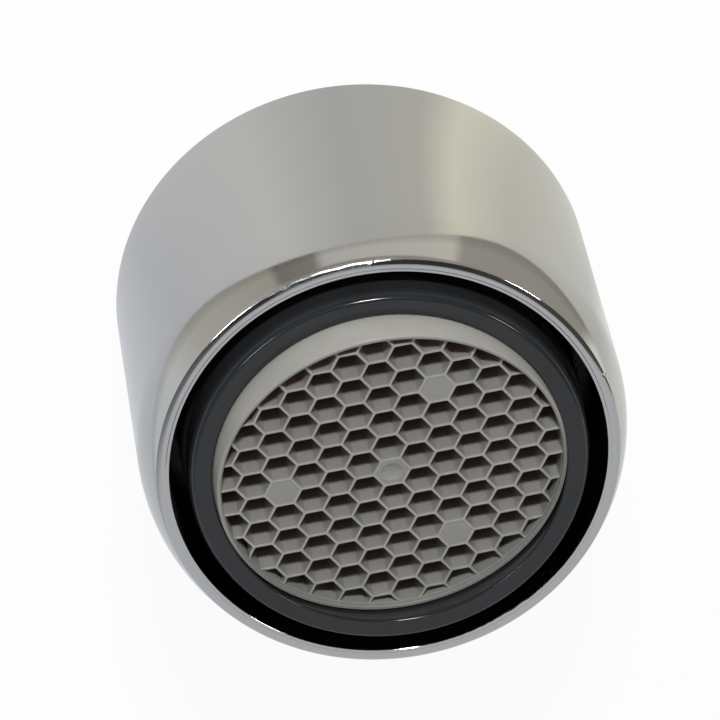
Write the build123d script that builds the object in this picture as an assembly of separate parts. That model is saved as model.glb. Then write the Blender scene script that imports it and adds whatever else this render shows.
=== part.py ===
from build123d import *
import os
from math import asin, degrees, hypot, sqrt

# Tap aerator with a swivelling outlet, for a spout with an M22 x 1 male thread.
# Millimetres. Z runs along the bore: 0 is the inlet end, the outlet looks up.
# X is the axis on which the outlet ball is tilted, and it leans towards -Y.

# Sleeve: every radius inside follows from its outside by a named wall, step or clearance
SLEEVE_R = 12.0
SLEEVE_LENGTH = 16.9
INLET_ROUND = 0.25
SHOULDER_HEIGHT = 3.4
RIM_HANDLE_OUT = 0.45   # handles of the shoulder's curve, as shares of its width and height
RIM_HANDLE_DOWN = 0.2
BODY_HANDLE_UP = 0.45
RIM_INSET = 0.7
RIM_WIDTH = 0.63
RIM_ROUND = 0.14
RIM_BEVEL = 0.12
THREAD_WALL = 1.0
THREAD_RUNOUT = 0.6
MOUTH_CHAMFER = 0.4
RELIEF_DEPTH = 0.25
RELIEF_LENGTH = 1.6
SEAT_STEP = 0.4
LEDGE_WIDTH = 0.55
LEDGE_THICKNESS = 0.9
OUTLET_DEPTH = 7.3

# Washer
WASHER_CLEARANCE = 0.2
WASHER_WIDTH = 2.4
WASHER_THICKNESS = 1.6

# Holder
FLANGE_CLEARANCE = 0.18
FLANGE_THICKNESS = 1.4
FLANGE_WALL = 0.77
NECK_CLEARANCE = 0.15
NECK_WALL = 0.6
RING_SETBACK = 0.22
RING_WIDTH = 1.03
RING_HEIGHT = 2.3
RING_TAPER = 0.6
RING_ROUND = 0.45
HOLDER_PROUD = 0.53
SEAT_STEP_DEPTH = 1.75
POCKET_DEPTH = 1.2
AIR_SLOTS = 8
AIR_SLOT_WIDTH = 4.4
AIR_SLOT_HEIGHT = 1.0
AIR_SLOT_ABOVE_LEDGE = 1.3

# Swivel: ball and socket share one centre, and their radii differ by the working gap
SOCKET_DEPTH = 2.36
SWIVEL_GAP = 0.08
BALL_LEAN = 9.3

# Ball seat ring
SEAT_RING_HEIGHT = 1.3
SEAT_RING_CLEARANCE = 0.05

# Ball and honeycomb
FACE_HEIGHT = 2.32
FACE_EDGE_ROUND = 0.09
LIP_EDGE_ROUND = 0.1
LIP_WALL = 0.21
BALL_BACK = 2.9
BACK_WALL = 0.4
COMB_RECESS = 0.27
COMB_THICKNESS = 2.6
COMB_TURN = -12.5
CELL_PITCH = 1.55
CELL_WALL = 0.17
SMALLEST_CELL = 0.3
SOLID_CELLS = {(0, 0), (2, -4), (2, 2), (-4, 2)}
DIMPLE_R = 0.55
DIMPLE_DEPTH = 0.12

# Mixing grid
GRID_CLEARANCE = 0.05
GRID_RIM = 0.55
GRID_BAR = 0.5
GRID_HEIGHT = 0.8
GRID_RINGS = 3
GRID_SPOKES = 3

# Jet plate
PLATE_CLEARANCE = 0.05
JET_R = 0.5
JET_RING_STEP = 2.0
JETS_PER_RING = 6
JET_RINGS = 3

# Filter screen
FILTER_CLEARANCE = 0.2
FILTER_RIM_WIDTH = 0.8
FILTER_RIM_HEIGHT = 0.5
FILTER_RISE = 1.6
FILTER_WALL = 0.35
FILTER_HOLE = 0.8
FILTER_PITCH = 1.25
FILTER_EDGE = 1.7

os.makedirs("parts", exist_ok=True)


def turned(*edges):
    """Closed profile of radius and height, turned about the bore."""
    face = make_face(Curve() + list(edges))
    return revolve(Plane.XZ * face, Axis.Z)


def tube(outer, inner, bottom, top):
    """Ring with a square section between two heights."""
    ring = Circle(outer) - Circle(inner)
    return Pos(0, 0, bottom) * extrude(ring, top - bottom)


def on_sphere(radius, height):
    """Radius of a sphere's section at a height from its centre."""
    return sqrt(radius**2 - height**2)


# Radii and heights that more than one piece shares
thread_root_r = SLEEVE_R - THREAD_WALL
seat_bore_r = thread_root_r - SEAT_STEP
ledge_r = seat_bore_r - LEDGE_WIDTH
ledge_z = SLEEVE_LENGTH - OUTLET_DEPTH
flange_z = ledge_z - FLANGE_THICKNESS
washer_z = flange_z - WASHER_THICKNESS
flange_r = seat_bore_r - FLANGE_CLEARANCE
neck_r = ledge_r - NECK_CLEARANCE
bore_r = neck_r - NECK_WALL
pocket_r = flange_r - FLANGE_WALL
washer_r = seat_bore_r - WASHER_CLEARANCE
washer_hole_r = washer_r - WASHER_WIDTH
ring_r = neck_r - RING_SETBACK
socket_mouth_r = ring_r - RING_WIDTH
holder_front = SLEEVE_LENGTH + HOLDER_PROUD
ball_z = holder_front - SOCKET_DEPTH
socket_r = hypot(socket_mouth_r, SOCKET_DEPTH)
ball_r = socket_r - SWIVEL_GAP

# Sleeve: one turning, from the threaded mouth over the inner ledge to the rolled rim
rim_outer_r = SLEEVE_R - RIM_INSET
rim_inner_r = rim_outer_r - RIM_WIDTH
relief_r = thread_root_r + RELIEF_DEPTH
thread_end = washer_z - THREAD_RUNOUT
relief_end = thread_end + RELIEF_LENGTH
ledge_top = ledge_z + LEDGE_THICKNESS
ledge_slope = rim_inner_r - ledge_r
shoulder_z = SLEEVE_LENGTH - SHOULDER_HEIGHT
bore_side = Polyline(
    (SLEEVE_R - INLET_ROUND, 0),
    (thread_root_r + MOUTH_CHAMFER, 0),
    (thread_root_r, MOUTH_CHAMFER),
    (thread_root_r, thread_end),
    (relief_r, thread_end + RELIEF_DEPTH),
    (relief_r, relief_end),
    (seat_bore_r, relief_end),
    (seat_bore_r, ledge_z),
    (ledge_r, ledge_z),
    (ledge_r, ledge_top),
    (rim_inner_r, ledge_top + ledge_slope),
    (rim_inner_r, SLEEVE_LENGTH - RIM_BEVEL),
    (rim_inner_r + RIM_BEVEL, SLEEVE_LENGTH),
    (rim_outer_r - RIM_ROUND, SLEEVE_LENGTH),
)
rim_edge = RadiusArc(
    (rim_outer_r - RIM_ROUND, SLEEVE_LENGTH),
    (rim_outer_r, SLEEVE_LENGTH - RIM_ROUND),
    RIM_ROUND,
)
shoulder = Bezier(
    (rim_outer_r, SLEEVE_LENGTH - RIM_ROUND),
    (rim_outer_r + RIM_HANDLE_OUT * RIM_INSET, SLEEVE_LENGTH - RIM_HANDLE_DOWN * SHOULDER_HEIGHT),
    (SLEEVE_R, shoulder_z + BODY_HANDLE_UP * SHOULDER_HEIGHT),
    (SLEEVE_R, shoulder_z),
)
outside = Line((SLEEVE_R, shoulder_z), (SLEEVE_R, INLET_ROUND))
inlet_edge = RadiusArc((SLEEVE_R, INLET_ROUND), (SLEEVE_R - INLET_ROUND, 0), INLET_ROUND)
housing_sleeve = turned(bore_side, rim_edge, shoulder, outside, inlet_edge)

# Holder: hangs by its flange on the sleeve's ledge, with the ball socket at its front
pocket_floor = flange_z + POCKET_DEPTH
seat_step_z = ball_z - SEAT_STEP_DEPTH
ring_back = holder_front - RING_HEIGHT
holder_outside = Polyline(
    (socket_r, ball_z),
    (socket_r, seat_step_z),
    (bore_r, seat_step_z),
    (bore_r, pocket_floor),
    (pocket_r, pocket_floor),
    (pocket_r, flange_z),
    (flange_r, flange_z),
    (flange_r, ledge_z),
    (neck_r, ledge_z),
    (neck_r, ring_back - RING_TAPER),
    (ring_r, ring_back),
    (ring_r, holder_front - RING_ROUND),
)
front_round = RadiusArc(
    (ring_r, holder_front - RING_ROUND),
    (ring_r - RING_ROUND, holder_front),
    -RING_ROUND,
)
front_face = Line((ring_r - RING_ROUND, holder_front), (socket_mouth_r, holder_front))
socket_angle = degrees(asin(SOCKET_DEPTH / socket_r))
socket = CenterArc((0, ball_z), socket_r, 0, socket_angle)
swivel_holder = turned(holder_outside, front_round, front_face, socket)
air_slot = Box(AIR_SLOT_WIDTH, 2 * neck_r, AIR_SLOT_HEIGHT)
slot_z = ledge_z + AIR_SLOT_ABOVE_LEDGE + AIR_SLOT_HEIGHT / 2
swivel_holder -= [
    Pos(0, 0, slot_z) * Rot(0, 0, turn * 360 / AIR_SLOTS) * air_slot
    for turn in range(AIR_SLOTS // 2)
]

# Seat ring: closes the socket behind the ball, against the step in the holder's bore
seat_ring_z = seat_step_z - SEAT_RING_HEIGHT
seat_ring_r = bore_r - SEAT_RING_CLEARANCE
seat_high = -SEAT_STEP_DEPTH
seat_low = -SEAT_STEP_DEPTH - SEAT_RING_HEIGHT
seat_low_r = on_sphere(socket_r, seat_low)
seat_high_r = on_sphere(socket_r, seat_high)
seat_low_angle = degrees(asin(seat_low / socket_r))
seat_high_angle = degrees(asin(seat_high / socket_r))
ball_seat_ring = turned(
    Polyline(
        (seat_low_r, seat_ring_z),
        (seat_ring_r, seat_ring_z),
        (seat_ring_r, seat_step_z),
        (seat_high_r, seat_step_z),
    ),
    CenterArc((0, ball_z), socket_r, seat_low_angle, seat_high_angle - seat_low_angle),
)

# Ball: drawn about its own centre with the outlet up, then leaned over
leaned = Pos(0, 0, ball_z) * Rot(BALL_LEAN, 0, 0) * Rot(0, 0, COMB_TURN)
comb_top = FACE_HEIGHT - COMB_RECESS
comb_back = comb_top - COMB_THICKNESS
face_r = on_sphere(ball_r, FACE_HEIGHT)
back_r = on_sphere(ball_r, BALL_BACK)
comb_r = face_r - LIP_WALL
cavity_r = back_r - BACK_WALL
face_angle = degrees(asin(FACE_HEIGHT / ball_r))
back_angle = degrees(asin(BALL_BACK / ball_r))
ball = turned(
    CenterArc((0, 0), ball_r, -back_angle, back_angle + face_angle),
    Polyline(
        (face_r, FACE_HEIGHT),
        (comb_r, FACE_HEIGHT),
        (comb_r, comb_top),
        (0, comb_top),
        (0, comb_back),
        (cavity_r, comb_back),
        (cavity_r, -BALL_BACK),
        (back_r, -BALL_BACK),
    ),
)
face_edge = ball.edges().filter_by(GeomType.CIRCLE).group_by(Axis.Z)[-1].sort_by(SortBy.RADIUS)[-1]
ball = fillet(face_edge, FACE_EDGE_ROUND)
lip_edge = ball.edges().filter_by(GeomType.CIRCLE).group_by(Axis.Z)[-1].sort_by(SortBy.RADIUS)[0]
ball = fillet(lip_edge, LIP_EDGE_ROUND)

# Honeycomb: flat-topped cells in columns, cut off by the ball's lip, four of them left solid
cell_apothem = (CELL_PITCH - CELL_WALL) / 2
column_step = CELL_PITCH * sqrt(3) / 2
reach = int(comb_r / column_step) + 1
lip = Circle(comb_r)
openings = []
for column in range(-reach, reach + 1):
    for row in range(-2 * reach, 2 * reach + 1):
        x = column * column_step
        y = -(row + column / 2) * CELL_PITCH
        if hypot(x, y) > comb_r + cell_apothem or (row, column) in SOLID_CELLS:
            continue
        cell = Pos(x, y) * RegularPolygon(cell_apothem, 6, major_radius=False)
        if hypot(x, y) + CELL_PITCH > comb_r:
            cell = cell & lip
        if cell and cell.area > SMALLEST_CELL:
            openings.append(Pos(0, 0, comb_back) * extrude(cell, COMB_THICKNESS))
ball -= openings
ball -= Pos(0, 0, comb_top - DIMPLE_DEPTH) * extrude(Circle(DIMPLE_R), DIMPLE_DEPTH)
swivel_ball = leaned * ball

# Mixing grid: rings and spokes in a rim, pushed into the ball up to the honeycomb
grid_r = cavity_r - GRID_CLEARANCE
grid_low = -BALL_BACK
grid = tube(grid_r, grid_r - GRID_RIM, grid_low, comb_back)
for ring in range(1, GRID_RINGS + 1):
    middle = grid_r * ring / (GRID_RINGS + 1)
    grid += tube(middle + GRID_BAR / 2, middle - GRID_BAR / 2, grid_low, grid_low + GRID_HEIGHT)
spoke = Box(2 * grid_r - GRID_RIM, GRID_BAR, GRID_HEIGHT)
for turn in range(GRID_SPOKES):
    grid += Pos(0, 0, grid_low + GRID_HEIGHT / 2) * Rot(0, 0, turn * 180 / GRID_SPOKES) * spoke
mixing_grid = leaned * grid

# Jet plate: drops into the holder's pocket, flush with the flange
plate = Circle(pocket_r - PLATE_CLEARANCE)
for ring in range(1, JET_RINGS + 1):
    plate -= PolarLocations(ring * JET_RING_STEP, ring * JETS_PER_RING) * Circle(JET_R)
jet_plate = Pos(0, 0, flange_z) * extrude(plate, POCKET_DEPTH)

# Filter screen: low dome of square mesh on a rim, standing on the jet plate
filter_r = washer_hole_r - FILTER_CLEARANCE
filter_open_r = filter_r - FILTER_EDGE
rim_top = flange_z - FILTER_RIM_HEIGHT
dome_r = filter_r - FILTER_RIM_WIDTH / 2
dome_sphere = (dome_r**2 + FILTER_RISE**2) / (2 * FILTER_RISE)
dome_centre = flange_z - FILTER_RISE + dome_sphere
shell = Sphere(dome_sphere) - Sphere(dome_sphere - FILTER_WALL)
dome = (Pos(0, 0, dome_centre) * shell) & (
    Pos(0, 0, flange_z) * extrude(Circle(dome_r), -2 * FILTER_RISE)
)
count = int(filter_open_r / FILTER_PITCH)
mesh_hole = Box(FILTER_HOLE, FILTER_HOLE, 4 * FILTER_RISE)
for i in range(-count, count + 1):
    for j in range(-count, count + 1):
        if hypot(i, j) * FILTER_PITCH <= filter_open_r:
            dome -= Pos(i * FILTER_PITCH, j * FILTER_PITCH, flange_z) * mesh_hole
filter_screen = dome + tube(filter_r, filter_r - FILTER_RIM_WIDTH, rim_top, flange_z)

# Washer: lies on the flange and the jet plate's edge, and seals on the spout's end
seal_washer = tube(washer_r, washer_hole_r, washer_z, flange_z)

pieces = {
    "housing_sleeve": housing_sleeve,
    "seal_washer": seal_washer,
    "filter_screen": filter_screen,
    "jet_plate": jet_plate,
    "swivel_holder": swivel_holder,
    "ball_seat_ring": ball_seat_ring,
    "swivel_ball": swivel_ball,
    "mixing_grid": mixing_grid,
}
for node, solid in pieces.items():
    export_step(solid, f"parts/{node}.step")
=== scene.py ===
import bpy
import numpy as np
from mathutils import Matrix


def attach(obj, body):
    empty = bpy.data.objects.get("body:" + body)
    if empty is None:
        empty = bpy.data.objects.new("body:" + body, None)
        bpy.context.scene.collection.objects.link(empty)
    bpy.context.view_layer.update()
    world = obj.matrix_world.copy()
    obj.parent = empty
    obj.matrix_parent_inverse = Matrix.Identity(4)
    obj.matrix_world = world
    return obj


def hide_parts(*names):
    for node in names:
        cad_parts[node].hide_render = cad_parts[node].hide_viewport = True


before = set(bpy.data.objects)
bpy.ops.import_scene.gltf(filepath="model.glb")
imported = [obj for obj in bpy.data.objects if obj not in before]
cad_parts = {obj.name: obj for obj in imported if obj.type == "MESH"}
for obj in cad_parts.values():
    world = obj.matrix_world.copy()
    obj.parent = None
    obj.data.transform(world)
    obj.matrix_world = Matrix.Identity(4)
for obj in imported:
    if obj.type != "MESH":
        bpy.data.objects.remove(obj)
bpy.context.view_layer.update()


# Sleeve: a brass turning, bright chrome plated all over. It is plain outside, with a long
# soft shoulder up to a flat rim; inside, the bore steps down to the ledge that carries the
# insert. The rim has a fine turned line, a burr on its inner edge, worn grit and three nicks.
MM = 0.001
SLEEVE_R = 12.0
SLEEVE_LENGTH = 16.9
INLET_ROUND = 0.25
SHOULDER_HEIGHT = 3.4
SHOULDER_FALL = 62.0
SHOULDER_HANDLE = 0.62
BODY_HANDLE = 0.55
RIM_FLAT_R = 11.06
RIM_INNER_R = 10.67
RIM_ROUND = 1.0
RIM_CORNER = 0.2
RIM_BREAK = 19.0
RIM_TURN = 32.0
RIM_FALL = 41.0
RIM_BEVEL = 0.045
BEVEL_RUN = 0.022
RIM_LINE_R = 10.83
LINE_LEAD = 0.02
LINE_EDGE = 0.018
LINE_DEPTH = 0.028
LINE_RUN = 0.03
LINE_AZIMUTH = 70.0
LINE_DROP = 0.022
THREAD_ROOT_R = 11.0
THREAD_END = 6.0
RELIEF_R = 11.25
RELIEF_END = 7.6
SEAT_BORE_R = 10.6
LEDGE_Z = 9.6
LEDGE_TOP = 10.5
LEDGE_R = 10.05
MOUTH_CHAMFER = 0.4
TURNED_EASE = 0.01
BURR_AZIMUTH = 284.0
BURR_SPREAD = 14.0
BURR_REACH = 0.07
BURR_ELSEWHERE = 0.04
BURR_LOW = 0.03
GRIT_AZIMUTH = 86.0
GRIT_REACH = 3.8
GRIT_DROP = 0.1
GRIT_BAND = 0.1
GRIT_CORE = 0.06
GRIT_GRAIN = 0.08
NICKS = ((2.6, 11.27, 16.80, 0.13), (1.0, 11.62, 16.15, 0.07), (-4.5, 11.3, 16.78, 0.08))
NICK_DEPTH = 2.2
TURNS_AROUND = 288
SLEEVE_SHARP = 18.0
PLATING = "#C6C6C4"
PLATING_ROUGHNESS = 0.07
WIPED_ROUGHNESS = 0.12
POLISH_WAVE = 2.0
WIPE_WIDTH = 0.25


def eased(corners, radius, steps=4):
    """Closed outline with each corner c swapped for the curve (1-t)^2 a + 2t(1-t) c + t^2 b,
    where a and b lie on its two sides at the radius, or at under half a side, from c."""
    c = np.asarray(corners, float)
    reach = np.broadcast_to(np.asarray(radius, float), len(c))
    before, after = np.roll(c, 1, 0) - c, np.roll(c, -1, 0) - c
    far_before, far_after = np.linalg.norm(before, axis=1), np.linalg.norm(after, axis=1)
    a = c + before * (np.minimum(reach, 0.45 * far_before) / far_before)[:, None]
    b = c + after * (np.minimum(reach, 0.45 * far_after) / far_after)[:, None]
    t = np.linspace(0, 1, steps + 1)[None, :, None]
    curve = (1 - t) ** 2 * a[:, None] + 2 * t * (1 - t) * c[:, None] + t**2 * b[:, None]
    return curve.reshape(-1, 2)


def turned(outline, around=TURNS_AROUND):
    """Grid of points (r cos u, r sin u, z) for a closed outline of (r, z) turned about the bore."""
    u = np.linspace(0, 2 * np.pi, around, endpoint=False)[:, None]
    r, z = outline[None, :, 0], outline[None, :, 1]
    return np.stack([r * np.cos(u), r * np.sin(u), z + 0 * u], axis=-1)


def quads(rows, columns, wrap_rows=True, wrap_columns=True):
    """Corner numbers of the quads of a grid, closed on itself along the ways that wrap."""
    i = np.arange(rows if wrap_rows else rows - 1)[:, None]
    j = np.arange(columns if wrap_columns else columns - 1)[None, :]
    k, m = (i + 1) % rows, (j + 1) % columns
    corners = [i * columns + j, k * columns + j, k * columns + m, i * columns + m]
    return np.stack(corners, axis=-1).reshape(-1, 4)


def piece(name, points, faces, sharp_degrees):
    """Mesh object from points in mm and faces, smooth but for edges sharper than an angle.
    Faces are turned round if the volume sum of p0 . (p1 x p2) / 6 over them is negative."""
    p = np.asarray(points, float).reshape(-1, 3) * MM
    a, b, c, d = (p[faces[:, n]] for n in range(4))
    volume = np.sum(a * np.cross(b, c)) + np.sum(a * np.cross(c, d))
    if volume < 0:
        faces = faces[:, ::-1]
    mesh = bpy.data.meshes.new(name)
    mesh.from_pydata(p.tolist(), [], faces.tolist())
    mesh.validate()
    mesh.shade_smooth()
    mesh.set_sharp_from_angle(angle=np.radians(sharp_degrees))
    made = bpy.data.objects.new(name, mesh)
    bpy.context.collection.objects.link(made)
    return made


def linear(colour):
    """Linear RGBA of an sRGB hex colour: c / 12.92 below 0.04045, else ((c + 0.055) / 1.055)^2.4."""
    c = np.array([int(colour[n:n + 2], 16) for n in (1, 3, 5)]) / 255
    return (*np.where(c < 0.04045, c / 12.92, ((c + 0.055) / 1.055) ** 2.4).tolist(), 1.0)


def put(tree, kind, inputs=None, **settings):
    """Adds a node: settings go on its properties, inputs are values or the sockets that feed it."""
    made = tree.nodes.new(kind)
    for key, value in settings.items():
        setattr(made, key, value)
    for key, value in (inputs or {}).items():
        if isinstance(value, bpy.types.NodeSocket):
            tree.links.new(value, made.inputs[key])
        else:
            made.inputs[key].default_value = value
    return made


def blank(name):
    """New material with an empty node tree and its output node."""
    made = bpy.data.materials.new(name)
    made.use_nodes = True
    made.node_tree.nodes.clear()
    return made, made.node_tree, put(made.node_tree, "ShaderNodeOutputMaterial")


def on_turning(azimuth, radius, level):
    """Point in metres at an azimuth in degrees, a radius and a height on the turning."""
    a = np.radians(azimuth)
    return (np.array([radius * np.cos(a), radius * np.sin(a), level]) * MM).tolist()


# Chrome on brass: a hard bright mirror with a faint waviness about 2 mm long from polishing,
# hairline wiping marks along the bore, and on the rim a patch of worn grit and three pits.
chrome, tree, output = blank("bright_chrome_on_brass")
place = put(tree, "ShaderNodeTexCoord").outputs["Object"]
wave = put(tree, "ShaderNodeTexNoise", {"Vector": place, "Scale": 1 / (POLISH_WAVE * MM), "Detail": 1.0})
stretch = put(tree, "ShaderNodeMapping", {"Vector": place, "Scale": (1.0, 1.0, 0.06)})
wipe = put(tree, "ShaderNodeTexNoise", {"Vector": stretch.outputs[0], "Scale": 1 / (WIPE_WIDTH * MM),
                                        "Detail": 3.0})
gloss = put(tree, "ShaderNodeMapRange", {"Value": wipe.outputs["Fac"], "From Min": 0.35, "From Max": 0.75,
                                         "To Min": PLATING_ROUGHNESS, "To Max": WIPED_ROUGHNESS})
height = put(tree, "ShaderNodeSeparateXYZ", {"Vector": place}).outputs["Z"]
off_band = put(tree, "ShaderNodeMath", {0: height, 1: (SLEEVE_LENGTH - GRIT_DROP) * MM}, operation="SUBTRACT")
off_band = put(tree, "ShaderNodeMath", {0: off_band.outputs[0]}, operation="ABSOLUTE")
in_band = put(tree, "ShaderNodeMapRange", {"Value": off_band.outputs[0], "From Min": GRIT_BAND * MM,
                                           "From Max": GRIT_CORE * MM}, interpolation_type="SMOOTHSTEP")
grain = put(tree, "ShaderNodeTexNoise", {"Vector": place, "Scale": 1 / (GRIT_GRAIN * MM), "Detail": 2.0,
                                         "Roughness": 0.6})
grit_spot = on_turning(GRIT_AZIMUTH, RIM_FLAT_R, SLEEVE_LENGTH)
from_grit = put(tree, "ShaderNodeVectorMath", {0: place, 1: grit_spot}, operation="DISTANCE")
worn = put(tree, "ShaderNodeMapRange", {"Value": from_grit.outputs["Value"], "From Min": GRIT_REACH * MM,
                                        "From Max": 0.5 * GRIT_REACH * MM})
grit = put(tree, "ShaderNodeMath", {0: grain.outputs["Fac"], 1: in_band.outputs[0]}, operation="MULTIPLY")
grit = put(tree, "ShaderNodeMath", {0: grit.outputs[0], 1: worn.outputs[0]}, operation="MULTIPLY")
marks = grit.outputs[0]
for azimuth, radius, level, reach in NICKS:
    nick_spot = on_turning(azimuth, radius, level)
    gap = put(tree, "ShaderNodeVectorMath", {0: place, 1: nick_spot}, operation="DISTANCE")
    pit = put(tree, "ShaderNodeMapRange", {"Value": gap.outputs["Value"], "From Max": reach * MM,
                                           "To Min": -NICK_DEPTH, "To Max": 0.0})
    marks = put(tree, "ShaderNodeMath", {0: marks, 1: pit.outputs[0]}, operation="ADD").outputs[0]
swell = put(tree, "ShaderNodeBump", {"Height": wave.outputs["Fac"], "Strength": 0.05, "Distance": 0.05 * MM})
rough_edge = put(tree, "ShaderNodeBump", {"Height": marks, "Normal": swell.outputs[0],
                                          "Strength": 0.5, "Distance": 0.04 * MM})
plating = put(tree, "ShaderNodeBsdfPrincipled", {"Base Color": linear(PLATING), "Metallic": 1.0,
                                                 "Roughness": gloss.outputs[0],
                                                 "Normal": rough_edge.outputs[0]})
tree.links.new(plating.outputs[0], output.inputs["Surface"])

# Outline of the turning: up the bore, over the rim's line and flat, round its edge in two arcs,
# down the shoulder's curve (1-t)^3 a + 3t(1-t)^2 b + 3t^2(1-t) c + t^3 d, the wall and the inlet's edge
inside = eased([(SLEEVE_R - INLET_ROUND, 0), (THREAD_ROOT_R + MOUTH_CHAMFER, 0), (THREAD_ROOT_R, MOUTH_CHAMFER),
                (THREAD_ROOT_R, THREAD_END), (RELIEF_R, THREAD_END + RELIEF_R - THREAD_ROOT_R),
                (RELIEF_R, RELIEF_END), (SEAT_BORE_R, RELIEF_END), (SEAT_BORE_R, LEDGE_Z), (LEDGE_R, LEDGE_Z),
                (LEDGE_R, LEDGE_TOP), (RIM_INNER_R, LEDGE_TOP + RIM_INNER_R - LEDGE_R),
                (RIM_INNER_R, SLEEVE_LENGTH - RIM_BEVEL),
                (RIM_INNER_R + BEVEL_RUN, SLEEVE_LENGTH - RIM_BEVEL + BEVEL_RUN),
                (RIM_LINE_R - LINE_LEAD, SLEEVE_LENGTH - LINE_EDGE), (RIM_LINE_R, SLEEVE_LENGTH - LINE_DEPTH),
                (RIM_LINE_R + LINE_RUN, SLEEVE_LENGTH), (RIM_FLAT_R, SLEEVE_LENGTH)], TURNED_EASE, 2)
rim_edge = np.array([(RIM_FLAT_R, SLEEVE_LENGTH)])
for radius, low, high in ((RIM_ROUND, RIM_BREAK, RIM_TURN), (RIM_CORNER, RIM_TURN, RIM_FALL)):
    over = np.radians(np.linspace(low, high, 9))
    arc = radius * np.column_stack([np.sin(over), np.cos(over)])
    rim_edge = np.vstack([rim_edge, rim_edge[-1] + (arc - arc[0])[1:]])
rim_edge = rim_edge[1:]
shoulder_low = SLEEVE_LENGTH - SHOULDER_HEIGHT
fall = np.array([np.cos(np.radians(SHOULDER_FALL)), -np.sin(np.radians(SHOULDER_FALL))])
handles = np.array([rim_edge[-1], rim_edge[-1] + SHOULDER_HANDLE * fall,
                    (SLEEVE_R, SLEEVE_LENGTH - BODY_HANDLE * SHOULDER_HEIGHT), (SLEEVE_R, shoulder_low)])
t = np.linspace(0, 1, 41)[1:, None]
shoulder = ((1 - t) ** 3 * handles[0] + 3 * t * (1 - t) ** 2 * handles[1]
            + 3 * t**2 * (1 - t) * handles[2] + t**3 * handles[3])
wall = np.column_stack([np.full(12, SLEEVE_R), np.linspace(shoulder_low, INLET_ROUND, 13)[1:]])
quarter = np.linspace(0, np.pi / 2, 9)[1:-1]
inlet_edge = np.column_stack([SLEEVE_R - INLET_ROUND + INLET_ROUND * np.cos(quarter),
                              INLET_ROUND - INLET_ROUND * np.sin(quarter)])
sleeve_outline = np.vstack([inside, rim_edge, shoulder, wall, inlet_edge])
sleeve_grid = turned(sleeve_outline)

# Burr: the inner edge is pulled in by a ragged amount and down, mostly near one azimuth. The
# turned line fades out on the side away from its own azimuth.
turn = np.linspace(0, 2 * np.pi, TURNS_AROUND, endpoint=False)
at_burr = np.exp(-((np.degrees(turn) - BURR_AZIMUTH) / BURR_SPREAD) ** 2)
ragged = np.random.default_rng(4).random(TURNS_AROUND)
jag = ragged * (BURR_ELSEWHERE + (1 - BURR_ELSEWHERE) * at_burr) * BURR_REACH
drop = SLEEVE_LENGTH - sleeve_outline[:, 1]
at_edge = (sleeve_outline[:, 0] < RIM_INNER_R + 0.04) & (sleeve_outline[:, 1] > SLEEVE_LENGTH - 2 * RIM_BEVEL)
sleeve_grid[..., :2] *= 1 - jag[:, None, None] * at_edge[None, :, None] / RIM_INNER_R
sleeve_grid[..., 2] -= at_burr[:, None] * (at_edge & (drop > BURR_LOW))[None] * BURR_REACH
line_side = np.clip((np.cos(turn - np.radians(LINE_AZIMUTH)) + 0.2) / 0.3, 0, 1)
land = (sleeve_outline[:, 0] < RIM_LINE_R + LINE_RUN) & (drop < RIM_BEVEL + 0.006)
sleeve_grid[..., 2] += (1 - line_side)[:, None] * (land * np.minimum(drop, LINE_DROP))[None]
sleeve = piece("plated_sleeve", sleeve_grid, quads(*sleeve_grid.shape[:2]), SLEEVE_SHARP)
sleeve.data.materials.append(chrome)
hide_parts("housing_sleeve")
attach(sleeve, "sleeve")


# Thread: the M22 x 1 inside thread that screws onto the spout, cut in the sleeve's bore and
# plated with it. Its ridge runs out to nothing at both ends.
PITCH = 1.0
CREST_R = 10.46
CREST_HALF = 0.14
CREST_DROP = 0.03
CREST_EASE = 0.02
ROOT_HALF = 0.45
ROOT_SINK = 0.03
RUNOUT_TURNS = 0.35
STEPS_PER_TURN = 144
THREAD_SHARP = 30.0
foot_r = THREAD_ROOT_R + ROOT_SINK
thread_low = MOUTH_CHAMFER + ROOT_HALF
thread_high = THREAD_END - ROOT_HALF
turns = (thread_high - thread_low) / PITCH
along = np.linspace(0, turns, int(turns * STEPS_PER_TURN))[:, None]
grown = np.clip(np.minimum(along, turns - along) / RUNOUT_TURNS, 0.02, 1.0)
section = np.array([(foot_r, -ROOT_HALF), (CREST_R + CREST_DROP, -CREST_HALF - CREST_EASE),
                    (CREST_R, -CREST_HALF + CREST_EASE), (CREST_R, CREST_HALF - CREST_EASE),
                    (CREST_R + CREST_DROP, CREST_HALF + CREST_EASE), (foot_r, ROOT_HALF)])
# The section is carried along a helix: angle 2 pi times the turns, height the pitch times the turns
ridge_r = foot_r + (section[None, :, 0] - foot_r) * grown
ridge_z = thread_low + PITCH * along + section[None, :, 1]
ridge = np.stack([ridge_r * np.cos(2 * np.pi * along), ridge_r * np.sin(2 * np.pi * along), ridge_z], axis=-1)
thread = piece("inlet_thread", ridge, quads(*ridge.shape[:2], wrap_rows=False), THREAD_SHARP)
thread.data.materials.append(chrome)
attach(thread, "sleeve")


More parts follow.
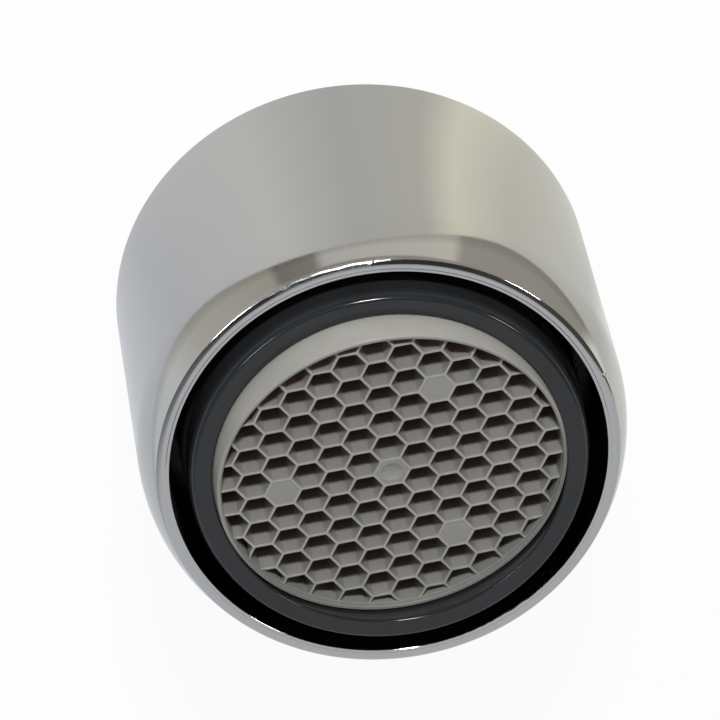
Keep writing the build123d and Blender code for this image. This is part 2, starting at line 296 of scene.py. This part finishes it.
# Holder: a dark grey acetal moulding. Its flange hangs on the sleeve's ledge, and its front
# ring, with a rounded outer edge, is the socket that the ball turns in.
RING_R = 9.76
RING_BACK = 15.13
RING_FLANK = 0.75
RING_TIP = 0.3
RING_DROP = 0.06
HOLDER_FRONT = 17.43
HOLDER_BORE_R = 9.3
HOLDER_EASE = 0.05
POCKET_R = 9.65
POCKET_FLOOR = 9.4
FLANGE_R = 10.42
FLANGE_Z = 8.2
NECK_R = 9.9
NECK_TOP = 14.53
SEAT_STEP_DEPTH = 1.75
SOCKET_MOUTH_R = 8.65
SOCKET_DEPTH = 2.36
MOUTH_SET = 0.08
MOUTH_ROUND = 0.1
MOUTH_DROP = 0.16
SOCKET_R = float(np.hypot(SOCKET_MOUTH_R, SOCKET_DEPTH))
BALL_Z = HOLDER_FRONT - SOCKET_DEPTH
MOULDED_SHARP = 35.0
ANTHRACITE = "#282A2C"

# Dark acetal: dyed through, satin from the mould's fine spark texture of about 0.08 mm.
dark_acetal, tree, output = blank("anthracite_acetal_moulded")
place = put(tree, "ShaderNodeTexCoord").outputs["Object"]
spark = put(tree, "ShaderNodeTexNoise", {"Vector": place, "Scale": 1 / (0.08 * MM), "Detail": 2.0})
cloud = put(tree, "ShaderNodeTexNoise", {"Vector": place, "Scale": 1 / (3.0 * MM), "Detail": 2.0})
satin = put(tree, "ShaderNodeMapRange", {"Value": cloud.outputs["Fac"], "From Min": 0.3, "From Max": 0.7,
                                         "To Min": 0.1, "To Max": 0.16})
tint = put(tree, "ShaderNodeMapRange", {"Value": cloud.outputs["Fac"], "From Min": 0.3, "From Max": 0.7,
                                        "To Min": 0.9, "To Max": 1.1})
shade = put(tree, "ShaderNodeMix", {0: 1.0, 6: linear(ANTHRACITE), 7: tint.outputs[0]},
            data_type="RGBA", blend_type="MULTIPLY")
grain = put(tree, "ShaderNodeBump", {"Height": spark.outputs["Fac"], "Strength": 0.08, "Distance": 0.01 * MM})
skin = put(tree, "ShaderNodeBsdfPrincipled", {"Base Color": shade.outputs[2], "Roughness": satin.outputs[0],
                                              "IOR": 1.44, "Normal": grain.outputs[0]})
tree.links.new(skin.outputs[0], output.inputs["Surface"])

# Outline: the back and neck, the ring's flank and tip as two arcs, its mouth, and the socket's sphere
seat_step_z = BALL_Z - SEAT_STEP_DEPTH
holder_back = eased([(SOCKET_R, seat_step_z), (HOLDER_BORE_R, seat_step_z), (HOLDER_BORE_R, POCKET_FLOOR),
                     (POCKET_R, POCKET_FLOOR), (POCKET_R, FLANGE_Z), (FLANGE_R, FLANGE_Z), (FLANGE_R, LEDGE_Z),
                     (NECK_R, LEDGE_Z), (NECK_R, NECK_TOP), (RING_R, RING_BACK)], HOLDER_EASE, 2)
lean = np.radians(np.linspace(0, 45, 13))[:, None]
flank = np.hstack([RING_R - RING_FLANK * (1 - np.cos(lean)),
                   HOLDER_FRONT - RING_DROP + RING_FLANK * (np.sin(lean) - np.sin(lean[-1]))])
tip = np.radians(np.linspace(45, 90, 9)[1:])[:, None]
crest = flank[-1] + RING_TIP * np.hstack([np.cos(tip) - np.cos(tip[0]), np.sin(tip) - np.sin(tip[0])])
crest += np.array([0, HOLDER_FRONT - crest[-1, 1]])
ring_edge = np.vstack([flank + np.array([0, crest[0, 1] - flank[-1, 1]]), crest[1:]])
turn_in = np.linspace(0, np.pi / 2, 7)
mouth = np.column_stack([SOCKET_MOUTH_R + MOUTH_SET - MOUTH_ROUND * np.sin(turn_in),
                         HOLDER_FRONT - MOUTH_ROUND * (1 - np.cos(turn_in))])
latitude = np.linspace(np.arcsin((SOCKET_DEPTH - MOUTH_DROP) / SOCKET_R), 0, 13)
socket = np.column_stack([SOCKET_R * np.cos(latitude), BALL_Z + SOCKET_R * np.sin(latitude)])
holder_grid = turned(np.vstack([holder_back, ring_edge, mouth, socket]))
holder = piece("socket_holder", holder_grid, quads(*holder_grid.shape[:2]), MOULDED_SHARP)
holder.data.materials.append(dark_acetal)
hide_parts("swivel_holder")
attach(holder, "sleeve")


# Ball: a light grey acetal moulding, a zone of a sphere with a thin lip round its outlet. It
# was leaned over by a finger, and stays where it is put.
SWIVEL_GAP = 0.08
BALL_R = SOCKET_R - SWIVEL_GAP
BALL_LEAN = 9.3
BALL_BACK = 2.9
BACK_WALL = 0.4
FACE_HEIGHT = 2.32
LIP_WALL = 0.21
LIP_ROUND = 0.09
LIP_INNER_ROUND = 0.1
COMB_TURN = -12.5
COMB_RECESS = 0.27
COMB_THICKNESS = 2.6
COMB_TOP = FACE_HEIGHT - COMB_RECESS
COMB_BACK = COMB_TOP - COMB_THICKNESS
FACE_R = float(np.sqrt(BALL_R**2 - FACE_HEIGHT**2))
BACK_R = float(np.sqrt(BALL_R**2 - BALL_BACK**2))
COMB_R = FACE_R - LIP_WALL
CAVITY_R = BACK_R - BACK_WALL
# These three tones paint light and shade on the pale acetal: the paler grey is painted light, the darker grey
# and the brown are painted shade.
PAINTED_SHADE_GREY = "#82817C"
PAINTED_SHADE_BROWN = "#877065"
PAINTED_LIGHT_GREY = "#B4B2AA"
PLAIN_SHARE = 0.5
leaned = Matrix.Rotation(np.radians(BALL_LEAN), 4, "X") @ Matrix.Rotation(np.radians(COMB_TURN), 4, "Z")


def in_socket(points):
    """Points drawn about the ball's centre, leaned over and lifted to the socket's centre."""
    return points @ np.array(leaned.to_3x3()).T + np.array([0, 0, BALL_Z])


# Light acetal: dyed through, a little waxy, with a fine 0.1 mm mould texture and faint clouding
# from the way the melt flowed. Light and shade are painted into its colour by a point attribute,
# the share of a paler grey: 1 is painted light on the thin fronts of the cells, 0 is a darker grey
# painted as shade down the cell walls and in the bore, and the ball's outside sits half way. Well
# below zero it goes over to a brown painted shade in the depth of the cells.
pale_acetal, tree, output = blank("light_grey_acetal_moulded")
place = put(tree, "ShaderNodeTexCoord").outputs["Object"]
spark = put(tree, "ShaderNodeTexNoise", {"Vector": place, "Scale": 1 / (0.1 * MM), "Detail": 2.0})
cloud = put(tree, "ShaderNodeTexNoise", {"Vector": place, "Scale": 1 / (2.5 * MM), "Detail": 3.0})
tint = put(tree, "ShaderNodeMapRange", {"Value": cloud.outputs["Fac"], "From Min": 0.3, "From Max": 0.7,
                                        "To Min": 0.93, "To Max": 1.05})
front = put(tree, "ShaderNodeAttribute", attribute_name="painted_light").outputs["Fac"]
deep = put(tree, "ShaderNodeMapRange", {"Value": front, "From Min": -0.25, "From Max": -0.5})
depth = put(tree, "ShaderNodeMix", {0: deep.outputs[0], 6: linear(PAINTED_SHADE_GREY), 7: linear(PAINTED_SHADE_BROWN)},
            data_type="RGBA")
painted_light = put(tree, "ShaderNodeMix", {0: front, 6: depth.outputs[2], 7: linear(PAINTED_LIGHT_GREY)}, data_type="RGBA")
shade = put(tree, "ShaderNodeMix", {0: 1.0, 6: painted_light.outputs[2], 7: tint.outputs[0]},
            data_type="RGBA", blend_type="MULTIPLY")
satin = put(tree, "ShaderNodeMapRange", {"Value": spark.outputs["Fac"], "From Min": 0.3, "From Max": 0.7,
                                         "To Min": 0.38, "To Max": 0.5})
grain = put(tree, "ShaderNodeBump", {"Height": spark.outputs["Fac"], "Strength": 0.1, "Distance": 0.012 * MM})
skin = put(tree, "ShaderNodeBsdfPrincipled", {"Base Color": shade.outputs[2], "Roughness": satin.outputs[0],
                                              "IOR": 1.48, "Normal": grain.outputs[0]})
tree.links.new(skin.outputs[0], output.inputs["Surface"])

# Outline: the sphere's zone, the lip's rounded edge, and the bore. The bore is closed over the
# zone by two more corners, whose 14 points are left out.
latitude = np.linspace(-np.arcsin(BALL_BACK / BALL_R), np.arcsin((FACE_HEIGHT - LIP_ROUND) / BALL_R), 41)
zone = np.column_stack([BALL_R * np.cos(latitude), BALL_R * np.sin(latitude)])
bend = np.linspace(0, np.pi / 2, 7)[1:, None]
lip = zone[-1] + np.column_stack([LIP_ROUND * (np.cos(bend) - 1), LIP_ROUND * np.sin(bend)])
bore = eased([(COMB_R, FACE_HEIGHT), (COMB_R, COMB_BACK), (CAVITY_R, COMB_BACK), (CAVITY_R, -BALL_BACK),
              (BACK_R, -BALL_BACK), (FACE_R - LIP_ROUND, FACE_HEIGHT)],
             (LIP_INNER_ROUND, 0.03, 0.03, 0.05, 0.05, 0.0), 6)[:-14]
ball_grid = in_socket(turned(np.vstack([zone, lip, bore])))
ball = piece("outlet_ball", ball_grid, quads(*ball_grid.shape[:2]), MOULDED_SHARP)
# The ball's outside takes half of the paler grey; its bore takes the darker grey, painted shade.
along_outline = np.concatenate([np.full(len(zone) + len(lip), PLAIN_SHARE), np.zeros(len(bore))])
shown = np.tile(along_outline, TURNS_AROUND).astype(np.float32)
ball.data.attributes.new("painted_light", "FLOAT", "POINT").data.foreach_set("value", shown)
ball.data.materials.append(pale_acetal)
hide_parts("swivel_ball")
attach(ball, "outlet")


# Honeycomb: moulded in one with the ball. Flat-topped cells stand in columns and are cut off
# by the lip; four are solid, one of them, in the middle, with a round mark of the mould's pin.
CELL_PITCH = 1.55
CELL_WALL = 0.17
EDGE_ROUND = 0.045
DRAFT = 0.02
CORNER_SHARE = 0.05
SMALLEST_CELL = 0.3
CUT_SHARE = 0.8
# From this share of the comb's radius on its +Y side, cut cells take the brown painted shade from high up.
PAINTED_SHADE_FROM = 0.35
PLUG_DROP = 0.02
PLUG_EDGE = 0.04
PIN_R = 0.55
PIN_DEPTH = 0.12
PIN_SLOPE = 0.2
CLOSED_R = 0.01
LIP_OVERLAP = 0.05
COMB_SHARP = 50.0
SOLID_CELLS = [(0, 0), (2, -4), (2, 2), (-4, 2)]
LOOP = 18
PLUG_SHARE = 0.35
# Share of the paler grey on each loop of a cell from the front down, and of a plug from its back up: the fronts
# and the plugs' top edges are painted light, the walls are painted shade that turns brown with depth, and the
# plug tops are a little darker than the ball's outside.
CELL_PAINTED_LIGHT = [1.0, 0.6, 0.1, 0.0, -1.0, -1.0]
LIP_CELL_PAINTED_LIGHT = [1.0, 0.6, 0.0, -0.28, -1.0, -1.0]
PLUG_PAINTED_LIGHT = [0.0, 0.0, 0.8, PLUG_SHARE, PLUG_SHARE, PLUG_SHARE]


def hexagon(apothem, shares):
    """Closed loop of points on a flat-topped hexagon: corner k at 60 k degrees, and on each side
    the points corner_k (1 - s) + corner_k+1 s for the shares s."""
    k = np.arange(7) * np.pi / 3
    corner = apothem * 2 / np.sqrt(3) * np.column_stack([np.cos(k), np.sin(k)])
    s = np.asarray(shares)[None, :, None]
    return (corner[:-1, None] * (1 - s) + corner[1:, None] * s).reshape(-1, 2)


def within(points, radius):
    """Points pulled straight in to a circle where they lie outside it."""
    far = np.linalg.norm(points, axis=-1, keepdims=True)
    return points * np.minimum(1.0, radius / np.maximum(far, 1e-9))


def stacked(centres, levels):
    """For each centre, hexagon loops one below the other: each level is an apothem, the shares
    along a side, a height and how far past the lip's inside the loop may reach."""
    loops = [np.dstack([within(centres[:, None] + hexagon(apothem, shares)[None], COMB_R + margin),
                        np.full((len(centres), LOOP), z)]) for apothem, shares, z, margin in levels]
    return np.stack(loops, axis=1)


column, row = (a.ravel() for a in np.meshgrid(np.arange(-7, 8), np.arange(-12, 13)))
centre = np.column_stack([column * CELL_PITCH * np.sqrt(3) / 2, -(row + column / 2) * CELL_PITCH])
rounded_shares = (CORNER_SHARE, 0.5, 1 - CORNER_SHARE)
whole_shares = (0.0, 0.5, 1.0)
half_pitch = CELL_PITCH / 2
opening = (CELL_PITCH - CELL_WALL) / 2
seen = within(centre[:, None] + hexagon(opening, rounded_shares)[None], COMB_R)
turned_on = np.roll(seen, -1, 1)
area = 0.5 * np.abs(np.sum(seen[..., 0] * turned_on[..., 1] - seen[..., 1] * turned_on[..., 0], axis=1))
solid = np.array([(int(i), int(j)) in SOLID_CELLS for i, j in zip(row, column)])
near = np.linalg.norm(centre, axis=1) < COMB_R + 0.6 * CELL_PITCH
hole = near & ~solid & (area > SMALLEST_CELL)
filled = near & ~hole
cells = stacked(centre[hole], [
    (half_pitch, whole_shares, COMB_TOP, LIP_OVERLAP),
    (opening + EDGE_ROUND, rounded_shares, COMB_TOP, -0.01),
    (opening + 0.3 * EDGE_ROUND, rounded_shares, COMB_TOP - 0.3 * EDGE_ROUND, -0.015),
    (opening, rounded_shares, COMB_TOP - EDGE_ROUND, -0.02),
    (opening - DRAFT, rounded_shares, COMB_BACK, -0.02),
    (half_pitch, whole_shares, COMB_BACK, LIP_OVERLAP)])
plug_top = COMB_TOP - PLUG_DROP
plugs = stacked(centre[filled], [
    (CLOSED_R, whole_shares, COMB_BACK, LIP_OVERLAP),
    (half_pitch, whole_shares, COMB_BACK, LIP_OVERLAP),
    (half_pitch, whole_shares, COMB_TOP, LIP_OVERLAP),
    (opening, whole_shares, plug_top, LIP_OVERLAP),
    (opening - PLUG_EDGE, whole_shares, plug_top, LIP_OVERLAP),
    (CLOSED_R, whole_shares, plug_top, LIP_OVERLAP)])
around = np.arctan2(*hexagon(1.0, whole_shares).T[::-1])
pin_floor = COMB_TOP - PIN_DEPTH
pin = np.stack([np.column_stack([r * np.cos(around), r * np.sin(around), np.full(LOOP, z)])
                for r, z in ((PIN_R, plug_top), (PIN_R - PIN_SLOPE, pin_floor), (CLOSED_R, pin_floor))])
middle = np.flatnonzero((row[filled] == 0) & (column[filled] == 0))[0]
plugs[middle, -1] = plugs[middle, -2]
plugs[middle, -1, :, :2] = pin[0, :, :2]
points, faces, start = [], [], 0
for stack in (*cells, *plugs, pin):
    points.append(stack.reshape(-1, 3))
    faces.append(quads(len(stack), LOOP, wrap_rows=False) + start)
    start += len(stack) * LOOP
comb = piece("outlet_honeycomb", in_socket(np.vstack(points)), np.vstack(faces), COMB_SHARP)
# Cut cells on the +Y side of the comb, under the lip, take the brown painted shade from the top of their walls.
painted_shade_cells = (area[hole] < CUT_SHARE * area.max()) & (centre[hole][:, 1] > PAINTED_SHADE_FROM * COMB_R)
cell_painted_light = np.where(painted_shade_cells[:, None], LIP_CELL_PAINTED_LIGHT, CELL_PAINTED_LIGHT).ravel()
level_painted_light = np.concatenate([cell_painted_light, np.tile(PLUG_PAINTED_LIGHT, len(plugs)), np.full(len(pin), PLUG_SHARE)])
comb_shown = np.repeat(level_painted_light, LOOP).astype(np.float32)
comb.data.attributes.new("painted_light", "FLOAT", "POINT").data.foreach_set("value", comb_shown)
comb.data.materials.append(pale_acetal)
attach(comb, "outlet")


# Jet plate, seat ring and mixing grid: brown acetal mouldings. The plate drops into the holder's
# pocket, the ring closes the socket behind the ball, and the grid is pushed into the ball's back.
BROWN = "#4A3A32"


def coat(node, material):
    """Gives a CAD node one material in place of its own."""
    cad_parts[node].data.materials.clear()
    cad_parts[node].data.materials.append(material)


# Brown acetal: dyed through, satin, with the same fine mould texture of about 0.1 mm.
brown_acetal, tree, output = blank("brown_acetal_moulded")
place = put(tree, "ShaderNodeTexCoord").outputs["Object"]
spark = put(tree, "ShaderNodeTexNoise", {"Vector": place, "Scale": 1 / (0.1 * MM), "Detail": 2.0})
cloud = put(tree, "ShaderNodeTexNoise", {"Vector": place, "Scale": 1 / (2.5 * MM), "Detail": 3.0})
tint = put(tree, "ShaderNodeMapRange", {"Value": cloud.outputs["Fac"], "From Min": 0.3, "From Max": 0.7,
                                        "To Min": 0.88, "To Max": 1.08})
shade = put(tree, "ShaderNodeMix", {0: 1.0, 6: linear(BROWN), 7: tint.outputs[0]},
            data_type="RGBA", blend_type="MULTIPLY")
satin = put(tree, "ShaderNodeMapRange", {"Value": spark.outputs["Fac"], "To Min": 0.35, "To Max": 0.5})
grain = put(tree, "ShaderNodeBump", {"Height": spark.outputs["Fac"], "Strength": 0.1, "Distance": 0.012 * MM})
skin = put(tree, "ShaderNodeBsdfPrincipled", {"Base Color": shade.outputs[2], "Roughness": satin.outputs[0],
                                              "IOR": 1.48, "Normal": grain.outputs[0]})
tree.links.new(skin.outputs[0], output.inputs["Surface"])
for node in ("jet_plate", "ball_seat_ring", "mixing_grid"):
    coat(node, brown_acetal)


# Filter screen: a low nylon dome of square mesh, moulded in one with its rim. It stands on
# the jet plate and keeps grit out of the jets.
NYLON = "#BFC3C2"

# Natural nylon: undyed and a little milky, satin from a mould texture of about 0.15 mm.
nylon, tree, output = blank("natural_nylon_mesh")
place = put(tree, "ShaderNodeTexCoord").outputs["Object"]
spark = put(tree, "ShaderNodeTexNoise", {"Vector": place, "Scale": 1 / (0.15 * MM), "Detail": 2.0})
satin = put(tree, "ShaderNodeMapRange", {"Value": spark.outputs["Fac"], "To Min": 0.3, "To Max": 0.45})
skin = put(tree, "ShaderNodeBsdfPrincipled", {"Base Color": linear(NYLON), "Roughness": satin.outputs[0],
                                              "IOR": 1.53})
tree.links.new(skin.outputs[0], output.inputs["Surface"])
coat("filter_screen", nylon)


# Washer: a flat ring of black rubber, cut from sheet. It lies on the holder's flange and the
# jet plate's edge, and seals on the end of the spout when the sleeve is screwed on.
BLACK_RUBBER = "#1C1C1D"

# Black rubber: dull, with patches of bloom about 0.8 mm across that are duller still.
rubber, tree, output = blank("black_epdm_rubber")
place = put(tree, "ShaderNodeTexCoord").outputs["Object"]
bloom = put(tree, "ShaderNodeTexNoise", {"Vector": place, "Scale": 1 / (0.8 * MM), "Detail": 4.0})
dull = put(tree, "ShaderNodeMapRange", {"Value": bloom.outputs["Fac"], "To Min": 0.5, "To Max": 0.75})
skin = put(tree, "ShaderNodeBsdfPrincipled", {"Base Color": linear(BLACK_RUBBER), "Roughness": dull.outputs[0],
                                              "IOR": 1.5})
tree.links.new(skin.outputs[0], output.inputs["Surface"])
coat("seal_washer", rubber)


# Floor: a plain sheet of white paper under the object. The camera, gloss and glass see it near
# white, with a little of its real shading left, so that the object keeps its shadow.
FLOOR_HALF = 1500.0
FLOOR_WHITE = "#F2F2F0"
FLOOR_GLOW = 0.94
floor_white, tree, output = blank("white_paper_sweep")
ray = put(tree, "ShaderNodeLightPath")
seen_by = put(tree, "ShaderNodeMath", {0: ray.outputs["Is Camera Ray"], 1: ray.outputs["Is Glossy Ray"]},
              operation="MAXIMUM")
seen_by = put(tree, "ShaderNodeMath", {0: seen_by.outputs[0], 1: ray.outputs["Is Transmission Ray"]},
              operation="MAXIMUM")
share = put(tree, "ShaderNodeMath", {0: seen_by.outputs[0], 1: FLOOR_GLOW}, operation="MULTIPLY")
paper = put(tree, "ShaderNodeBsdfDiffuse", {"Color": linear(FLOOR_WHITE)})
white = put(tree, "ShaderNodeEmission", {"Color": (1, 1, 1, 1), "Strength": 1.0})
mixed = put(tree, "ShaderNodeMixShader", {0: share.outputs[0], 1: paper.outputs[0], 2: white.outputs[0]})
tree.links.new(mixed.outputs[0], output.inputs["Surface"])
corner = FLOOR_HALF * np.array([(-1, -1, 0), (1, -1, 0), (1, 1, 0), (-1, 1, 0)])
floor_mesh = bpy.data.meshes.new("floor")
floor_mesh.from_pydata((corner * MM).tolist(), [], [(0, 1, 2, 3)])
floor_mesh.materials.append(floor_white)
floor = bpy.data.objects.new("floor", floor_mesh)
bpy.context.collection.objects.link(floor)


# Light tent: a bowl of cloth round the object, which only the plating and other gloss can see.
# The cloth is pale near the lamps and darker towards the camera's opening and on the grey cards,
# so that the bright plating shows soft streaks along the wall and darker arcs on the shoulder.
TENT_FLOOR_R = 60.0
TENT_BEND_R = 60.0
TENT_HEIGHT = 75.0
TENT_LIFT = 0.02
TENT_AROUND = 145
DOME_R = 900.0
HORIZON = 78.0
HORIZON_BLEND = 3.0
EYE_LEVEL = 108.0
EYE_BLEND = 4.0
CARD_EDGE = 31.0
CARD_BLEND = 0.8
CARD_SWAY = 7.0
CARD_SPAN = 1 / 3
CARD_GAP = 0.225
CARD_FADE = 9.0
CARD_DIM = 0.72
FLOOR_TONES = ((0.00, "#D8D8D0"), (0.06, "#DCDAD0"), (0.115, "#F8F4E2"), (0.145, "#D2D0C8"), (0.21, "#CCCCCB"),
               (0.28, "#E1E1E0"), (0.345, "#DBDADD"), (0.40, "#CFD1D6"), (0.50, "#D4D7DC"), (0.62, "#DDE0E6"),
               (0.80, "#D6D9DB"), (0.92, "#E6E6E2"), (0.955, "#D2D2CE"))
CARD_TONES = ((0.00, "#AEA9A3"), (0.11, "#B4AFA8"), (0.12, "#E6E0D4"), (0.15, "#DEDAD3"), (0.245, "#D6D3CE"),
              (0.253, "#97928B"), (0.29, "#8F8A84"), (0.297, "#BAB7AC"), (0.39, "#CBC9C0"), (0.43, "#E1E2E4"),
              (0.60, "#DDE0E4"), (0.90, "#F4F4F0"), (0.955, "#FFFDF8"), (0.975, "#B0ABA5"))
FAR_TONES = ((0.00, "#A8A39D"), (0.10, "#A9A49C"), (0.125, "#AAA7A0"), (0.28, "#97938D"), (0.30, "#C6C1BA"),
             (0.42, "#D2D0CC"), (0.60, "#DDE0E4"), (0.90, "#DEDEDC"), (0.955, "#D4D2CC"), (0.975, "#A8A39D"))
DOME_TONES = ((0.00, "#4A4846"), (0.08, "#3E3B3A"), (0.40, "#3A3A3C"), (0.50, "#86888E"), (0.58, "#D2D5DC"),
              (0.897, "#CDCFD0"), (0.909, "#55524F"))

# Tent cloth: each ramp gives the tones round the bowl, with u the share of a turn. The ramps
# follow one another up the cloth, with v the way along it from the middle, in metres.
tent_cloth, tree, output = blank("tent_cloth_lit")
uv = put(tree, "ShaderNodeSeparateXYZ", {"Vector": put(tree, "ShaderNodeTexCoord").outputs["UV"]})
tones = []
for stops in (FLOOR_TONES, CARD_TONES, FAR_TONES, DOME_TONES):
    ramp = put(tree, "ShaderNodeValToRGB", {"Fac": uv.outputs["X"]})
    while len(ramp.color_ramp.elements) < len(stops) + 1:
        ramp.color_ramp.elements.new(1.0)
    for element, (stop, tone) in zip(ramp.color_ramp.elements, stops + ((1.0, stops[0][1]),)):
        element.position = stop
        element.color = linear(tone)
    tones.append(ramp.outputs["Color"])
# The cards' lower edge sways up and down round the bowl as a cosine
swing = put(tree, "ShaderNodeMath", {0: uv.outputs["X"], 1: 2 * np.pi / CARD_SPAN,
                                     2: -2 * np.pi * CARD_GAP / CARD_SPAN}, operation="MULTIPLY_ADD")
swing = put(tree, "ShaderNodeMath", {0: swing.outputs[0]}, operation="COSINE")
edge = put(tree, "ShaderNodeMath", {0: swing.outputs[0], 1: -CARD_SWAY * MM, 2: -CARD_EDGE * MM},
           operation="MULTIPLY_ADD")
past = put(tree, "ShaderNodeMath", {0: uv.outputs["Y"], 1: edge.outputs[0]}, operation="ADD")
dim = put(tree, "ShaderNodeMapRange", {"Value": past.outputs[0], "From Min": 0.0, "From Max": CARD_FADE * MM,
                                       "To Min": CARD_DIM, "To Max": 1.0})
tones[1] = put(tree, "ShaderNodeMix", {0: 1.0, 6: tones[1], 7: dim.outputs[0]},
               data_type="RGBA", blend_type="MULTIPLY").outputs[2]
steps = [(past.outputs[0], -CARD_BLEND, CARD_BLEND),
         (uv.outputs["Y"], HORIZON - HORIZON_BLEND, HORIZON + HORIZON_BLEND),
         (uv.outputs["Y"], EYE_LEVEL - EYE_BLEND, EYE_LEVEL + EYE_BLEND)]
cloth = tones[0]
for (reach, low, high), tone in zip(steps, tones[1:]):
    climb = put(tree, "ShaderNodeMapRange", {"Value": reach, "From Min": low * MM, "From Max": high * MM},
                interpolation_type="SMOOTHSTEP")
    cloth = put(tree, "ShaderNodeMix", {0: climb.outputs[0], 6: cloth, 7: tone}, data_type="RGBA").outputs[2]
glow = put(tree, "ShaderNodeEmission", {"Color": cloth, "Strength": 1.0})
tree.links.new(glow.outputs[0], output.inputs["Surface"])

# Outline of the bowl: flat on the floor, a quarter bend, a short wall and a wide dome
bend = np.linspace(0, np.pi / 2, 25)
tent_r = TENT_FLOOR_R + TENT_BEND_R
climbs = np.linspace(np.arctan2(TENT_HEIGHT, tent_r), np.pi / 2 - 0.001, 25)
bowl = np.vstack([np.column_stack([np.linspace(SLEEVE_R - 0.2, TENT_FLOOR_R, 25), np.full(25, TENT_LIFT)]),
                  np.column_stack([TENT_FLOOR_R + TENT_BEND_R * np.sin(bend),
                                   TENT_BEND_R * (1 - np.cos(bend)) + TENT_LIFT])[1:],
                  np.array([(tent_r, TENT_HEIGHT)]),
                  DOME_R * np.column_stack([np.cos(climbs), np.sin(climbs)])])
u = np.linspace(0, 2 * np.pi, TENT_AROUND)[:, None]
bowl_points = np.stack([bowl[None, :, 0] * np.cos(u), bowl[None, :, 0] * np.sin(u),
                        bowl[None, :, 1] + 0 * u], axis=-1)
bowl_faces = quads(*bowl_points.shape[:2], wrap_rows=False, wrap_columns=False)
tent_mesh = bpy.data.meshes.new("light_tent")
tent_mesh.from_pydata((bowl_points.reshape(-1, 3) * MM).tolist(), [], bowl_faces.tolist())
step = np.hypot(*np.diff(bowl, axis=0).T)
path = (bowl[0, 0] + np.concatenate([[0], np.cumsum(step)])) * MM
sheet = np.stack(np.broadcast_arrays(u / (2 * np.pi), path[None]), axis=-1).reshape(-1, 2)
tent_mesh.uv_layers.new(name="tent").data.foreach_set("uv", sheet[bowl_faces.ravel()].ravel())
tent_mesh.materials.append(tent_cloth)
tent = bpy.data.objects.new("light_tent", tent_mesh)
for kind in ("camera", "diffuse", "transmission", "shadow", "volume_scatter"):
    setattr(tent, f"visible_{kind}", False)
bpy.context.collection.objects.link(tent)


# Studio: a pale room and three soft boxes on the +Y side. The middle box lights the plastics.
# The other two give sheen alone: they draw the streaks on the ring and the rim, and leave the
# side walls of the cells dark. Each box is an azimuth, elevation, width, height, power and tone.
ROOM_TONE = "#ECEDF2"
ROOM_STRENGTH = 0.36
SOFT_BOXES = {"box_far_left": (134, 42, 0.13, 0.05, 0.47, "#F2F5FF"),
              "box_far": (74, 40, 0.08, 0.045, 1.95, "#FFFFFF"),
              "box_far_right": (8, 36, 0.10, 0.05, 0.33, "#FFF3E2")}
SHEEN_ONLY = ("box_far_left", "box_far_right")
BOX_DISTANCE = 0.5
TARGET_HEIGHT = 15.0
scene = bpy.context.scene
scene.view_settings.view_transform = "Standard"
world = bpy.data.worlds.new("pale_studio")
world.use_nodes = True
world.node_tree.nodes["Background"].inputs["Color"].default_value = linear(ROOM_TONE)
world.node_tree.nodes["Background"].inputs["Strength"].default_value = ROOM_STRENGTH
scene.world = world
target = np.array([0, 0, TARGET_HEIGHT * MM])
for name, (azimuth, elevation, width, tall, power, tone) in SOFT_BOXES.items():
    a, e = np.radians(azimuth), np.radians(elevation)
    away = np.array([np.cos(a) * np.cos(e), np.sin(a) * np.cos(e), np.sin(e)])
    lamp = bpy.data.lights.new(name, "AREA")
    lamp.shape = "RECTANGLE"
    lamp.size = width
    lamp.size_y = tall
    lamp.energy = power
    lamp.color = linear(tone)[:3]
    box = bpy.data.objects.new(name, lamp)
    side = np.cross((0, 0, 1), away)
    side /= np.linalg.norm(side)
    facing = np.column_stack([side, np.cross(away, side), away])
    box.matrix_world = Matrix.Translation(target + BOX_DISTANCE * away) @ Matrix(facing.tolist()).to_4x4()
    box.visible_diffuse = name not in SHEEN_ONLY
    bpy.context.collection.objects.link(box)


# Camera: a long lens above the outlet on its +Y side, rolled so that the sleeve's wall rises
# above the outlet in the picture. Its place is in mm, in the CAD frame.
CAMERA_PLACE = (24.631, 150.361, 261.560)
CAMERA_RIGHT = (0.934585, -0.338846, 0.108329)
CAMERA_UP = (0.345674, 0.793072, -0.501544)
CAMERA_BACK = (0.084033, 0.506182, 0.858323)
FOCAL_PIXELS = 5964.9
FRAME_PIXELS = 720
lens = bpy.data.cameras.new("photo_view")
lens.sensor_width = 36.0
lens.lens = FOCAL_PIXELS / FRAME_PIXELS * lens.sensor_width
lens.clip_start = 0.01
lens.clip_end = 20.0
camera = bpy.data.objects.new("photo_view", lens)
facing = Matrix(np.column_stack([CAMERA_RIGHT, CAMERA_UP, CAMERA_BACK]).tolist()).to_4x4()
camera.matrix_world = Matrix.Translation(np.array(CAMERA_PLACE) * MM) @ facing
bpy.context.collection.objects.link(camera)
scene.camera = camera
